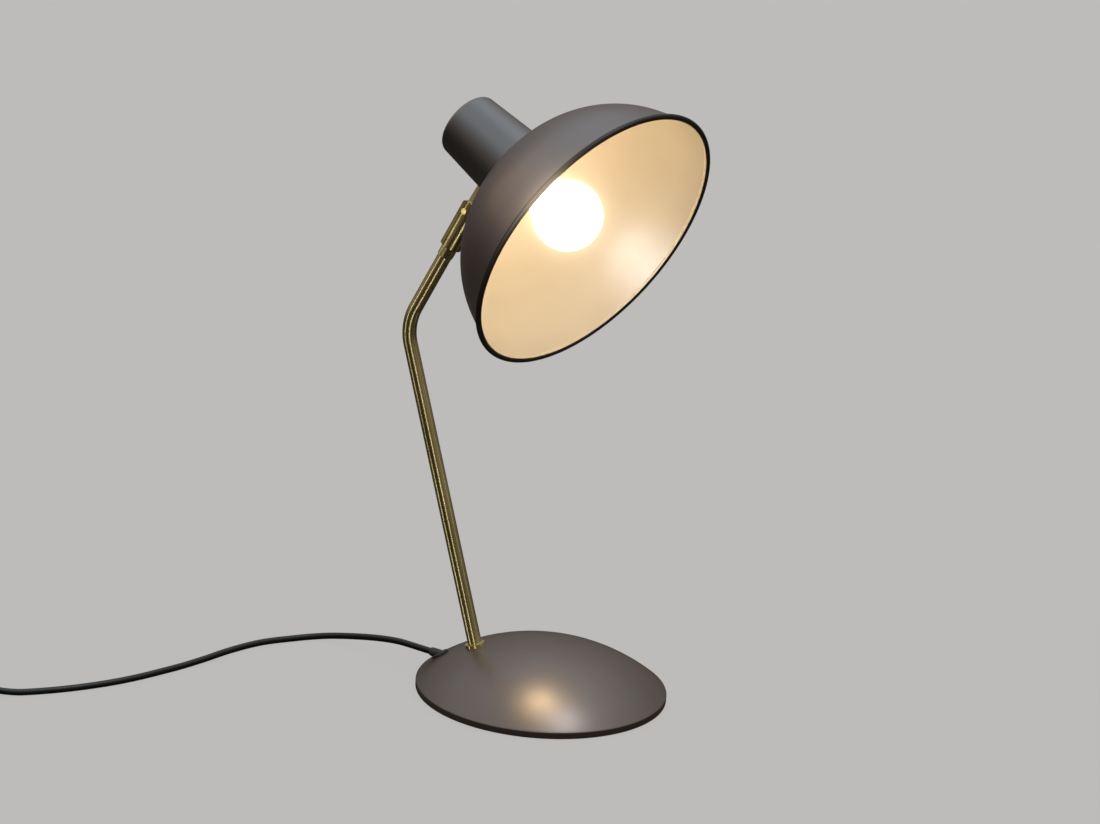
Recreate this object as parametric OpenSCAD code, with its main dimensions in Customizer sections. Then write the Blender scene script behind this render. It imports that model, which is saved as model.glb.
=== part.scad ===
// Dome shade desk lamp: heavy domed base, bent brass tube, swivel and tilt
// knuckle, spun dome shade with a tapered neck, and a mains cord with an
// in-line rocker switch. Millimetres, +Z up, origin in the middle of the
// underside of the base. The pole stands at +Y and the lamp looks to -Y.

/* [Base] */
// Radius of the domed base
base_r = 84; // [83:0.5:86]
// Height of the top of the dome above the table
base_h = 34; // [33.5:0.5:35]
// Height of the upright edge of the base
edge_h = 5; // [4.8:0.1:5.4]
// Sheet thickness of the base cover
cover_t = 1.2; // [1:0.1:1.4]
// Height of the iron weight above the bottom plate
weight_h = 9.4; // [8.6:0.2:9.6]

/* [Pole] */
// Outside diameter of the brass tube
pole_d = 9.4; // [9.2:0.1:9.6]
// Wall thickness of the tube
pole_wall = 1; // [0.9:0.05:1]
// Distance of the pole's foot from the middle of the base
foot_y = 47; // [46:0.5:48]
// Backward lean of the lower tube
pole_lean = 15.7; // [15:0.1:16.5]
// Length of the lower tube up to the corner of the bend
lower_l = 224.5; // [215:0.5:235]
// Turn of the bend
bend_deg = 40.9; // [39:0.1:43]
// Radius of the bend at the tube's middle
bend_r = 37; // [34:1:42]
// Distance from the corner of the bend to the tilt pin
arm_l = 89.5; // [86:0.5:93]

/* [Head] */
// Turn of the head about the upper tube
head_turn = 25; // [0:1:40]
// Tilt of the shade from square to the upper tube
head_tilt = 1.75; // [-2:0.25:6]
// Radius of the shade over its rolled lip
shade_r = 97.5; // [97:0.1:98]
// Diameter of the rolled lip
lip_d = 3.7; // [3.4:0.1:4]
// Sheet thickness of the shade
shade_t = 0.9; // [0.8:0.05:1]
// Depth of the dome at which it has the radius below
top_w = 76; // [75.5:0.1:76.5]
// Radius of the dome near its top
top_r = 28.6; // [28.2:0.1:29]
// Slope of the dome behind the lip, from the shade's axis
slope_1 = 19; // [18:0.5:20]
// Slope of the dome towards the neck, from the shade's axis
slope_2 = 60.8; // [60:0.2:61.4]
// Radius of the dome's shoulder
shoulder_r = 80; // [76:1:86]
// Radius of the neck where it meets the dome
neck_r1 = 25.6; // [25.4:0.1:25.8]
// Radius of the neck at its closed end
neck_r2 = 22.1; // [22:0.1:22.4]
// Depth of the closed end of the neck behind the rim
neck_w = 128; // [127:0.5:129]
// Diameter of the bulb
bulb_d = 45; // [44:0.5:46]
// Depth of the middle of the bulb behind the rim
bulb_w = 28; // [27.5:0.5:28.5]

/* [Knuckle] */
// Diameter of the knuckle
knuckle_d = 14.4; // [14:0.1:14.8]
// Width of the slot for the tongue
slot_w = 5.2; // [5.1:0.05:5.3]
// Thickness of the tongue
tongue_t = 2.6; // [2.5:0.05:2.7]
// Diameter of the tilt pin
pin_d = 4; // [3.9:0.05:4]

/* [Cord] */
// Diameter of the cord
cord_d = 4.4; // [4.3:0.1:4.5]
// Radius of the coil at the middle of its turns
coil_r = 26; // [25.5:0.5:26.5]

/* [Hidden] */
$fn = 96;

paint = [0.36, 0.34, 0.34];
brass = [0.55, 0.48, 0.26];
steel = [0.72, 0.73, 0.75];
black = [0.08, 0.08, 0.08];

// The dome of the base is part of a sphere.
dome_rise = base_h - edge_h;
dome_R = (base_r*base_r + dome_rise*dome_rise)/(2*dome_rise);
foot_z = base_h - dome_R + sqrt(dome_R*dome_R - foot_y*foot_y);
pole_id = pole_d - 2*pole_wall;
arm_d = pole_d + 0.06;
arm_id = pole_id - 0.06;
bend_t = bend_r*tan(bend_deg/2);
plate_r = base_r - cover_t - 0.3;
weight_r = 64;
post_r = 50;
plate_z = 3.4;

// The shade's profile: two cones joined by a round shoulder. It is
// written as points of [radius, depth behind the rim].
t1 = tan(slope_1);
t2 = tan(slope_2);
cone_r = shade_r - 1.3;
cor_w = (top_r + top_w*t2 - cone_r)/(t2 - t1);
cor_r = cone_r - t1*cor_w;
tan_l = shoulder_r*tan((slope_2 - slope_1)/2);
arc_w = cor_w - tan_l*cos(slope_1) - shoulder_r*sin(slope_1);
arc_r = cor_r + tan_l*sin(slope_1) - shoulder_r*cos(slope_1);
function arc_pt(R, a) = [arc_r + R*cos(a), arc_w + R*sin(a)];
flat_r = 23.2;
flat_w = top_w + (top_r - flat_r)/t2;
function dome_w(r) = top_w + (top_r - r)/t2;
neck_w1 = dome_w(neck_r1);
neck_k = (neck_r1 - neck_r2)/(neck_w - neck_w1);
neck_t = 1;
// Place of the tilt pin in the shade's own frame
pin_w = 91.6;
pin_r = 43.9;
knuckle_r = knuckle_d/2;
knuckle_bot = -27.2;

// Lay of the cord: from the gland behind the pole, down to the table
// and away to one side, then the tail with switch, coil and plug.
gland_p = [7.5, 73, 12.6];
gland_turn = -14;
gland_tilt = 3;
gland_end = 7;
tail_o = [-153, 328];
tail_a = 112;
coil_c = [44, 67.5];
function turned(p, a) = [p[0]*cos(a) - p[1]*sin(a), p[0]*sin(a) + p[1]*cos(a), p[2]];
function tail(p) = turned(p, tail_a) + [tail_o[0], tail_o[1], 0];
function back(t) = gland_p + t*turned([0, cos(gland_tilt), sin(gland_tilt)], gland_turn);
cr2 = cord_d/2;
lead_pts = concat(
    [back(gland_end - 4), back(gland_end), back(15), back(24)],
    [[17, 105, 13.4], [20.7, 116, 12.1], [24.8, 127, 10], [28.8, 138, 7.5],
     [31.5, 149, 5.2], [32, 159, 3.5], [29.2, 168.3, 2.5], [23.5, 177, cr2], [5, 197.5, cr2],
     [-18, 212.5, cr2], [-42, 224, cr2], [-64, 236, cr2], [-82, 247, cr2],
     [-98, 259, cr2], [-112, 271, cr2], [-124, 284, cr2], [-135, 297, cr2],
     [-144, 311, cr2], [-150, 322, 3.2]],
    [tail([1, 0, 5]), tail([6, 0, 6.4]), tail([10, 0, 6.8])]);
mid_pts = [tail([68, 0, 6.8]), tail([74, 0, 6.1]), tail([81, 0, 4.5]),
           tail([88, 1.4, 3.2]), tail([94.1, 5.4, 2.4]), tail([98.1, 11.4, cr2]),
           tail([99.5, 18.5, cr2]), tail([98.1, 25.6, cr2]), tail([94.1, 31.6, cr2]),
           tail([88, 35.6, cr2]), tail([81, 37, cr2]), tail([70, 37, cr2]),
           tail([57, 37, cr2]), tail([46, 37, cr2])];
tail_pts = [tail([46, 98, 6.6]), tail([56, 98, 6.3]), tail([66, 98.2, 6]),
            tail([75, 98.4, 6.2]), tail([82, 98.5, 6.7]), tail([86, 98.5, 6.9])];

function cr(a, b, c, d, t) =
    0.5*(2*b + (c - a)*t + (2*a - 5*b + 4*c - d)*t*t + (3*b - a - 3*c + d)*t*t*t);
function spline(P, n) =
    [for (i = [0:len(P) - 2], j = [0:n - 1])
         cr(P[max(i - 1, 0)], P[i], P[i + 1], P[min(i + 2, len(P) - 1)], j/n),
     P[len(P) - 1]];
function unit(v) = v/norm(v);

// A tube swept along a line of points, with flat sides and closed ends.
module swept_tube(P, d, k = 8) {
    n = len(P);
    pts = [for (i = [0:n - 1])
               let (t = unit(P[min(i + 1, n - 1)] - P[max(i - 1, 0)]),
                    s = unit(cross(t, [0, 0, 1])), u = cross(s, t))
               for (j = [0:k - 1])
                   let (a = (j + 0.5)*360/k)
                       P[i] + d/2*(cos(a)*s + sin(a)*u)];
    sides = [for (i = [0:n - 2], j = [0:k - 1])
                 let (a = i*k + j, b = i*k + (j + 1)%k)
                     [a, b, b + k, a + k]];
    polyhedron(points = pts,
               faces = concat([[for (j = [0:k - 1]) k - 1 - j]], sides,
                              [[for (j = [0:k - 1]) (n - 1)*k + j]]));
}

// Frames of the pole, the upper arm, the tilt pin and the shade
module at_foot() {
    translate([0, foot_y, foot_z]) rotate([-pole_lean, 0, 0]) children();
}
module at_arm() {
    at_foot() translate([0, 0, lower_l]) rotate([bend_deg, 0, 0]) children();
}
module at_pin() {
    at_arm() translate([0, 0, arm_l]) rotate([0, 0, -head_turn]) children();
}
module at_shade() {
    at_pin() rotate([-90 + head_tilt, 0, 0]) translate([0, -pin_r, -pin_w]) children();
}
module at_gland() {
    translate(gland_p) rotate([0, 0, gland_turn]) rotate([gland_tilt - 90, 0, 0]) children();
}
module at_tail(p = [0, 0, 0]) {
    translate([tail_o[0], tail_o[1], 0]) rotate([0, 0, tail_a]) translate(p) children();
}
module pipe(r1, r2, h) {
    difference() {
        cylinder(r = r1, h = h);
        translate([0, 0, -1]) cylinder(r = r2, h = h + 2);
    }
}
module nut(af, h, bore) {
    difference() {
        cylinder(d = af/cos(30), h = h, $fn = 6);
        translate([0, 0, -1]) cylinder(d = bore, h = h + 2);
    }
}
module around_base() {
    for (a = [30, 150, 270]) rotate([0, 0, a]) translate([post_r, 0, 0]) children();
}

// ---- Base ----
module cover_solid(t) {
    intersection() {
        translate([0, 0, base_h - dome_R]) sphere(r = dome_R - t, $fn = 240);
        translate([0, 0, -20]) cylinder(r = base_r - t, h = 80, $fn = 180);
    }
}
module base_cover() color(paint) difference() {
    union() {
        difference() {
            cover_solid(0);
            cover_solid(cover_t);
            translate([-100, -100, -80]) cube([200, 200, 80.6]);
        }
        // posts that take the plate screws
        intersection() {
            around_base() translate([0, 0, plate_z + weight_h + 0.2]) cylinder(r = 4.5, h = 30, $fn = 48);
            cover_solid(cover_t/2);
        }
    }
    around_base() cylinder(d = 3.4, h = plate_z + weight_h + 6, $fn = 48);
    at_foot() translate([0, 0, -12]) cylinder(d = 7.6, h = 20, $fn = 48);
    at_gland() translate([0, 0, -12]) cylinder(d = 6.3, h = 50, $fn = 48);
}
module base_weight() color([0.25, 0.25, 0.26]) difference() {
    translate([0, 0, plate_z]) cylinder(r = weight_r, h = weight_h);
    translate([-17, 28, 0]) cube([40, 50, 30]);
    around_base() cylinder(d = 4.6, h = 30, $fn = 48);
}
module base_plate() color(steel) difference() {
    translate([0, 0, 2.2]) cylinder(r = plate_r, h = plate_z - 2.2);
    around_base() cylinder(d = 4.6, h = 30, $fn = 48);
}
module foot_pad() color(black) difference() {
    cylinder(r = plate_r - 0.5, h = 2.2);
    around_base() translate([0, 0, -1]) cylinder(d = 11, h = 5, $fn = 48);
}
module plate_screws() color(steel) around_base() difference() {
    union() {
        translate([0, 0, 0.5]) cylinder(d = 7.4, h = 1.7, $fn = 48);
        translate([0, 0, 0.5]) cylinder(d = 3.4, h = 16, $fn = 48);
    }
    translate([-0.5, -5, 0]) cube([1, 10, 1.3]);
}

// ---- Pole ----
// Frame of the bend: the middle of its arc, which turns about +Z
module at_bend() {
    at_foot() translate([0, -bend_r, lower_l - bend_t]) rotate([90, 0, 90]) children();
}
module pole() color(brass) at_bend() {
    translate([bend_r, 0, 0]) rotate([90, 0, 0]) pipe(pole_d/2, pole_id/2, lower_l - bend_t - 0.6);
    rotate_extrude(angle = bend_deg, $fn = 180) translate([bend_r, 0]) difference() {
        circle(d = pole_d, $fn = 64);
        circle(d = pole_id, $fn = 64);
    }
    // the arm past the bend is a hair thicker
    rotate([0, 0, bend_deg]) translate([bend_r, -0.05, 0]) rotate([-90, 0, 0])
        pipe(arm_d/2, arm_id/2, arm_l - 30.45 - bend_t);
}
module pole_flange() color(brass) difference() {
    at_foot() translate([0, 0, -4]) cylinder(r = 6.6, h = 5.8);
    translate([0, 0, base_h - dome_R]) sphere(r = dome_R, $fn = 240);
    at_foot() translate([0, 0, -6]) cylinder(d = 7.6, h = 12);
    at_foot() translate([0, 0, 0.6]) cylinder(d = pole_d + 0.1, h = 12);
}
module pole_nipple() color(steel) at_foot() translate([0, 0, -13]) pipe(pole_id/2 - 0.02, 2.6, 31);
module pole_washer() color(steel) intersection() {
    at_foot() translate([0, 0, -5]) pipe(9, 3.8, 8);
    translate([0, 0, base_h - dome_R]) sphere(r = dome_R - cover_t, $fn = 240);
}
module pole_nut() color(steel) at_foot() translate([0, 0, -9.1]) nut(12, 4, pole_id);
module ferrule() color(brass) at_arm() translate([0, 0, arm_l - 35]) difference() {
    intersection() {
        cylinder(d = 10/cos(30), h = 7.3, $fn = 6);
        rotate_extrude() polygon([[0, 0], [4.9, 0], [5.9, 0.9], [5.9, 6.6], [5.2, 7.3], [0, 7.3]]);
    }
    translate([0, 0, -1]) cylinder(d = arm_d, h = 5.5);
    cylinder(d = arm_id, h = 10);
}
module pole_lead() color(black) at_bend() {
    translate([bend_r, 0, 0]) rotate([90, 0, 0]) cylinder(d = cord_d, h = lower_l - bend_t + 16);
    rotate_extrude(angle = bend_deg, $fn = 180) translate([bend_r, 0]) circle(d = cord_d, $fn = 48);
    rotate([0, 0, bend_deg]) translate([bend_r, -0.05, 0]) rotate([-90, 0, 0])
        cylinder(d = cord_d + 0.06, h = arm_l - 15.95 - bend_t);
}

// ---- Wiring in the base ----
module terminal_block() color([0.9, 0.9, 0.88]) difference() {
    translate([-9, 31, plate_z]) cube([18, 20, 6]);
    for (x = [-4.5, 4.5], y = [36, 46]) translate([x, y, plate_z + 2]) cylinder(d = 3.2, h = 10, $fn = 32);
}
module at_clamp() { translate([4.1, 59, 0]) rotate([0, 0, -12]) children(); }
tail_in = [[2.6, 51.4, 7.2], [2.6, 52.6, 7.2], [3, 54.4, 8.6], [3.5, 56.2, 10.4], [4.1, 59, 11.3],
           [4.75, 62, 11.95], back(-8), back(0), back(gland_end - 4.2)];
module cord_clamp() color([0.9, 0.9, 0.88]) difference() {
    at_clamp() translate([-10, -2.6, plate_z]) cube([20, 5.2, 11.2]);
    translate([4.1, 59, 11.25]) rotate([0, 0, -12]) rotate([-75, 0, 0]) cylinder(d = cord_d + 0.4, h = 20, center = true, $fn = 48);
    for (x = [-7.2, 7.2]) at_clamp() translate([x, 0, 0]) cylinder(d = 2.6, h = 20, $fn = 32);
}
module clamp_screws() color(steel) for (x = [-7.2, 7.2]) at_clamp() translate([x, 0, 0]) {
    translate([0, 0, plate_z + 0.1]) cylinder(d = 2.6, h = 11.2, $fn = 32);
    translate([0, 0, plate_z + 11.2]) cylinder(d = 5, h = 1.4, $fn = 32);
}
module supply_tail() color(black) swept_tube(spline(tail_in, 2), cord_d, 8);

// ---- Cord ----
module cord_gland() color(black) {
    at_gland() rotate_extrude() polygon(
        [[cr2 + 0.15, -10.2], [3.9, -10.2], [3.9, -8.7], [3.1, -8.7], [3.1, 5.6],
         [2.8, gland_end], [cr2 + 0.15, gland_end]]);
    // collar that lies on the cover
    difference() {
        intersection() {
            translate([0, 0, base_h - dome_R]) difference() {
                sphere(r = dome_R + 1.3, $fn = 240);
                sphere(r = dome_R + 0.02, $fn = 240);
            }
            translate([0, 0, base_h - dome_R]) rotate([0, 0, -4.6]) rotate([-32.1, 0, 0])
                cylinder(r = 5.7, h = 200, $fn = 64);
        }
        at_gland() translate([0, 0, -12]) cylinder(d = 6.1, h = 60, $fn = 48);
    }
}
module cord_lead() color(black) swept_tube(spline(lead_pts, 2), cord_d, 8);
module cord_mid() color(black) swept_tube(spline(mid_pts, 1), cord_d, 8);
module cord_tail() color(black) swept_tube(spline(tail_pts, 1), cord_d, 8);
module cord_coil() color(black) at_tail([coil_c[0], coil_c[1], 0]) rotate_extrude() polygon(
    [for (q = [[-1, 0], [1, 0], [1, 1], [-1, 1]], k = [0, 1])
         let (cx = q[0], first = (q[1] == 0) == (q[0] == -1))
             [coil_r + cx*7 - cx*(((k == 0) == first) ? 0 : 2.2),
              q[1]*13.2 + (q[1] == 0 ? 1 : -1)*(((k == 0) == first) ? 2.2 : 0)]]);
module coil_tie() color(black) at_tail([coil_c[0] - coil_r, coil_c[1], 0]) difference() {
    translate([-8.2, -2.5, 0.05]) cube([16.6, 5, 14]);
    translate([-7.4, -4, -1]) cube([14.9, 8, 14.25]);
}

// ---- In-line switch ----
// Outline of the switch: a rounded body with a short snout at each end
module switch_outline(g = 0) {
    hull() for (x = [17 + g, 61 - g], y = [-7.6 + g, 7.6 - g]) translate([x, y]) circle(r = 4, $fn = 48);
}
module switch_shell(z0, z1, g0, g1) {
    difference() {
        union() {
            translate([0, 0, z0]) linear_extrude(height = z1 - z0) switch_outline();
            translate([10, -4.2, max(z0, 2.6)]) cube([58, 8.4, min(z1, 11) - max(z0, 2.6)]);
        }
        translate([17, -8, g0]) cube([44, 16, g1 - g0]);
        translate([9, 0, 6.8]) rotate([0, 90, 0]) cylinder(d = cord_d + 0.1, h = 60, $fn = 48);
    }
}
module switch_lower() color(black) at_tail() difference() {
    switch_shell(0.02, 6.8, 2, 6.8);
    for (p = [[21, 6], [57, -6]]) translate([p[0], p[1], -1]) cylinder(d = 2.8, h = 4, $fn = 32);
}
module switch_upper() color(black) at_tail() difference() {
    switch_shell(6.8, 13.6, 6.8, 11.8);
    translate([29.8, -5.2, 8]) cube([18.4, 10.4, 10]);
}
module switch_rocker() color([0.14, 0.14, 0.14]) at_tail([39, 0, 11.6]) rotate([0, -7, 0]) difference() {
    rotate([90, 0, 0]) translate([0, 0, -4.8]) linear_extrude(height = 9.6)
        polygon([[-8.4, -1], [-8.4, 2.9], [-4.5, 2.5], [0, 2.3], [4.5, 2.5], [8.4, 2.9], [8.4, -1], [2.6, -2.6], [-2.6, -2.6]]);
    rotate([90, 0, 0]) translate([0, 0, -6]) cylinder(d = 2.1, h = 12, $fn = 32);
}
module switch_screws() color(steel) at_tail() {
    for (p = [[21, 6], [57, -6]]) translate([p[0], p[1], 0.4]) {
        cylinder(d = 2.7, h = 1.6, $fn = 32);
        cylinder(d = 1.8, h = 6, $fn = 32);
    }
    // the rocker's pin
    translate([39, 5.2, 11.6]) rotate([90, 0, 0]) cylinder(d = 2, h = 10.4, $fn = 32);
}

// ---- Plug ----
module at_plug() { at_tail([86, 98.5, 6.9]) children(); }
module plug_body() color(black) at_plug() difference() {
    union() {
        translate([0, 0, 0]) rotate([0, 90, 0]) cylinder(r1 = 3.1, r2 = 4.6, h = 15, $fn = 48);
        hull() for (y = [-11.2, 11.2]) translate([32, y, 0]) rotate([0, 90, 0]) cylinder(d = 13.6, h = 6, $fn = 32);
        hull() {
            translate([10, 0, 0]) rotate([0, 90, 0]) cylinder(d = 9, h = 1, $fn = 32);
            for (y = [-10.6, 10.6]) translate([31, y, 0]) rotate([0, 90, 0]) cylinder(d = 12.8, h = 1.2, $fn = 32);
        }
    }
    translate([-1, 0, 0]) rotate([0, 90, 0]) cylinder(d = cord_d, h = 9, $fn = 48);
}
module plug_pins() color(brass) at_plug() for (y = [-9.3, 9.3])
    translate([38, y, 0]) rotate([0, 90, 0]) {
        cylinder(d = 3.8, h = 10, $fn = 32);
        translate([0, 0, 10]) cylinder(d = 4, h = 8, $fn = 32);
        translate([0, 0, 18]) cylinder(r1 = 2, r2 = 1, h = 1, $fn = 32);
    }

// ---- Knuckle ----
module swivel_stud() color(steel) at_pin() translate([0, 0, -41]) difference() {
    union() {
        cylinder(d = pole_id - 0.14, h = 13.4);
        translate([0, 0, 13.38]) cylinder(d = 7.96, h = 7.9);
    }
    translate([0, 0, -1]) cylinder(d = 5.2, h = 30);
}
module swivel_washer() color(brass) at_pin() translate([0, 0, -27.66]) pipe(5.3, 4.05, 0.44);
module knuckle_fork() color(brass) at_pin() difference() {
    union() {
        translate([0, 0, knuckle_bot]) cylinder(r = knuckle_r, h = -knuckle_bot);
        intersection() {
            cylinder(r = knuckle_r, h = knuckle_r + 1);
            rotate([0, 90, 0]) translate([0, 0, -10]) cylinder(r = knuckle_r, h = 20);
        }
    }
    translate([-slot_w/2, -10, -12.6]) cube([slot_w, 20, 30]);
    rotate([0, 90, 0]) translate([0, 0, -10]) cylinder(d = pin_d + 0.1, h = 20, $fn = 48);
    rotate([0, 90, 0]) translate([0, 0, knuckle_r - 0.55]) cylinder(d = 6.6, h = 3, $fn = 48);
    translate([0, 0, knuckle_bot - 1]) cylinder(d = 8, h = 8.5);
    translate([0, 0, knuckle_bot - 1]) cylinder(d = 6.2, h = 30);
}
module pivot_screw() color(brass) at_pin() difference() {
    rotate([0, 90, 0]) union() {
        translate([0, 0, -knuckle_r + 0.3]) cylinder(d = pin_d, h = 2*knuckle_r - 0.4, $fn = 48);
        translate([0, 0, knuckle_r - 0.5]) cylinder(d = 6.4, h = 1.9, $fn = 48);
    }
    translate([knuckle_r + 0.6, -4, -0.45]) cube([2, 8, 0.9]);
}

// ---- Head ----
module hinge_tongue() color(brass) at_shade() difference() {
    union() {
        // flat tongue down to the tilt pin
        translate([-tongue_t/2, 0, pin_w]) rotate([0, 90, 0]) linear_extrude(height = tongue_t) union() {
            translate([0, pin_r]) circle(r = 6.4, $fn = 64);
            translate([-4.6, 20]) square([9.2, pin_r - 20]);
        }
        // strap along the inside of the neck
        translate([-6, 19.9, 86]) cube([12, 2, 15.2]);
        // upright that holds the lampholder
        translate([-6, 0, 99.2]) cube([12, 21, 2]);
        translate([0, 0, 99.2]) cylinder(r = 10, h = 2);
    }
    translate([0, 0, 98]) cylinder(d = 10.2, h = 5);
    translate([-5, pin_r, pin_w]) rotate([0, 90, 0]) cylinder(d = pin_d + 0.12, h = 10, $fn = 48);
}
module friction_washers() color(steel) at_pin() for (s = [-1, 1])
    translate([s*(tongue_t/2 + 0.57), 0, 0]) rotate([0, 90, 0]) translate([0, 0, -0.57])
        pipe(5.4, pin_d/2 + 0.06, 1.14);
module shade_dome() color(paint) at_shade() rotate_extrude($fn = 180) union() {
    polygon(concat(
        [[cone_r - 0.1, 0.9]],
        [for (i = [0:20]) arc_pt(shoulder_r, slope_1 + (slope_2 - slope_1)*i/20)],
        [[flat_r, flat_w], [14.4, flat_w], [14.4, flat_w - shade_t], [flat_r - 0.4, flat_w - shade_t]],
        [for (i = [20:-1:0]) arc_pt(shoulder_r - shade_t, slope_1 + (slope_2 - slope_1)*i/20)],
        [[cone_r - 0.1 - shade_t/cos(slope_1), 0.9]]));
    translate([shade_r - lip_d/2, lip_d/2]) circle(d = lip_d, $fn = 48);
}
module neck_cap() color(paint) at_shade() difference() {
    rotate_extrude($fn = 120) difference() {
        union() {
            polygon([[0, neck_w1 - 3], [neck_r1, neck_w1], [neck_r2 + neck_k*2.6, neck_w - 2.6], [0, neck_w - 2.6]]);
            translate([0, neck_w - 2.7]) square([neck_r2 - 2.4, 2.7]);
            translate([neck_r2 - 2.45, neck_w - 2.6]) circle(r = 2.6, $fn = 64);
        }
        polygon([[-1, 60], [neck_r1 - neck_t, 60], [neck_r1 - neck_t, neck_w1],
                 [neck_r2 + neck_k*2.6 - neck_t, neck_w - 2.6], [neck_r2 - 2.6, neck_w - neck_t], [-1, neck_w - neck_t]]);
        // seat on the dome
        polygon([[neck_r1 + 5, dome_w(neck_r1 + 5)], [flat_r - 3, dome_w(flat_r - 3)], [0, 60], [neck_r1 + 5, 55]]);
    }
    translate([-1.5, 10, pin_w - 4.8]) cube([3, 20, 9.6]);
    translate([0, 12, 82.9]) rotate([-90, 0, 0]) cylinder(d = 6.4, h = 20, $fn = 48);
}
holder_m = 56;
module lampholder() color([0.93, 0.92, 0.88]) at_shade() rotate_extrude() difference() {
    polygon([[8.6, holder_m], [12.6, holder_m], [13.9, holder_m + 3], [13.9, flat_w + 0.05], [18, flat_w + 0.05],
             [18, flat_w + 2.6], [13.9, flat_w + 3.6], [13.9, 93], [10.5, 96], [8, 96], [8, 99.1],
             [4.98, 99.1], [4.98, 92], [6, 92], [6, 86.4], [8.6, 86.4]]);
}
module holder_shell() color(brass) at_shade() translate([0, 0, 60]) pipe(8.55, 7.35, 20);
module holder_contact() color(brass) at_shade() {
    translate([-2.5, -5.9, 84.6]) cube([5, 11.8, 0.6]);
    translate([-2.5, -1.5, 81.75]) cube([5, 3, 2.9]);
}
module shade_ring() color([0.93, 0.92, 0.88]) at_shade() translate([0, 0, flat_w - shade_t - 6]) difference() {
    pipe(19.5, 13.95, 5.95);
    for (a = [0:30:330]) rotate([0, 0, a]) translate([20.3, 0, -1]) cylinder(r = 1.6, h = 8, $fn = 32);
}
module holder_nipple() color(steel) at_shade() translate([0, 0, 92.2]) pipe(4.96, 3.4, 16);
module holder_nut() color(steel) at_shade() translate([0, 0, 101.25]) nut(14, 4, 9.94);
module lead_bush() color(black) at_shade() translate([0, 0, 82.9]) rotate([-90, 0, 0]) rotate_extrude($fn = 64)
    polygon([[2.35, 22], [3.8, 22], [3.8, 23.7], [3.15, 23.7], [3.15, 25.45], [3.9, 25.65], [3.9, 27], [2.35, 27]]);
// From the neck down to the knuckle, then round the tilt pin
module head_lead() color(black) at_shade() translate([0, pin_r, pin_w]) rotate([0, 90, 0]) {
    translate([8.7, 0, 0]) rotate([90, 0, 0]) cylinder(d = cord_d - 0.2, h = pin_r - 20, $fn = 48);
    rotate_extrude(angle = 40, $fn = 96) translate([8.7, 0]) circle(d = cord_d - 0.2, $fn = 48);
}
// The bulb's envelope is hollow and open into its cap.
module bulb_glass() color([1, 0.97, 0.9]) at_shade() translate([0, 0, bulb_w]) rotate_extrude($fn = 128) difference() {
    union() {
        intersection() { circle(d = bulb_d, $fn = 128); translate([0, -40]) square([40, 80]); }
        polygon([[0, 10], [19.6, 11], [16.2, 17.4], [12.6, 22.8], [9.2, 25.8], [6.8, 27.5], [6.8, 28.4], [0, 28.4]]);
    }
    circle(d = bulb_d - 2.4, $fn = 128);
    polygon([[-1, 8], [17.9, 10.6], [14.8, 16.4], [11.4, 21.8], [8.2, 24.8], [5.6, 26.8], [5.6, 30], [-1, 30]]);
}
module bulb_cap() color(steel) at_shade() rotate_extrude() polygon(
    [[6.85, bulb_w + 27.6], [7.15, bulb_w + 27.6], [7.2, bulb_w + 30], [6.9, bulb_w + 31.2], [7.2, bulb_w + 32.4],
     [6.9, bulb_w + 33.8], [7.2, bulb_w + 35.2], [6.9, bulb_w + 36.6], [7.2, bulb_w + 38], [6.9, bulb_w + 39.4],
     [7.2, bulb_w + 40.8], [6.9, bulb_w + 42.2], [7, bulb_w + 45], [6.2, bulb_w + 48.4], [3, bulb_w + 51],
     [2.6, bulb_w + 52.4], [1.8, bulb_w + 53.6], [0, bulb_w + 53.7], [0, bulb_w + 28.5], [6.85, bulb_w + 28.5]]);

base_cover();
base_weight();
base_plate();
foot_pad();
plate_screws();
pole();
pole_flange();
pole_nipple();
pole_washer();
pole_nut();
ferrule();
pole_lead();
terminal_block();
cord_clamp();
clamp_screws();
supply_tail();
cord_gland();
cord_lead();
switch_lower();
switch_upper();
switch_rocker();
switch_screws();
cord_mid();
cord_coil();
coil_tie();
cord_tail();
plug_body();
plug_pins();
swivel_stud();
swivel_washer();
knuckle_fork();
pivot_screw();
hinge_tongue();
friction_washers();
shade_dome();
neck_cap();
lampholder();
holder_shell();
holder_contact();
shade_ring();
holder_nipple();
holder_nut();
lead_bush();
head_lead();
bulb_glass();
bulb_cap();
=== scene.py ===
import math
import bpy
import bmesh
from mathutils import Matrix, Vector


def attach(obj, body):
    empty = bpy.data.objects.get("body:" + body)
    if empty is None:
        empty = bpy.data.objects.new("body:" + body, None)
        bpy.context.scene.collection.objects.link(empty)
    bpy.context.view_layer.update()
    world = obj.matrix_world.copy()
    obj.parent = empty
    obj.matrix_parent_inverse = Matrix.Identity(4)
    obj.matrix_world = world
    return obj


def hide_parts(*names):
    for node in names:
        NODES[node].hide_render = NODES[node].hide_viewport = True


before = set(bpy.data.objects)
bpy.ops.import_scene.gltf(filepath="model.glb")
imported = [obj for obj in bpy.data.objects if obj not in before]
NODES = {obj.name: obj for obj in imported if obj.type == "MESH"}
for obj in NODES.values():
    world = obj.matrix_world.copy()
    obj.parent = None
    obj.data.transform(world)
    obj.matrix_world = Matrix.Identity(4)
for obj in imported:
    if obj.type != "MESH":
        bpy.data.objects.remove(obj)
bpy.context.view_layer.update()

SCENE = bpy.context.scene
COLL = SCENE.collection
MM = 0.001

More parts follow.
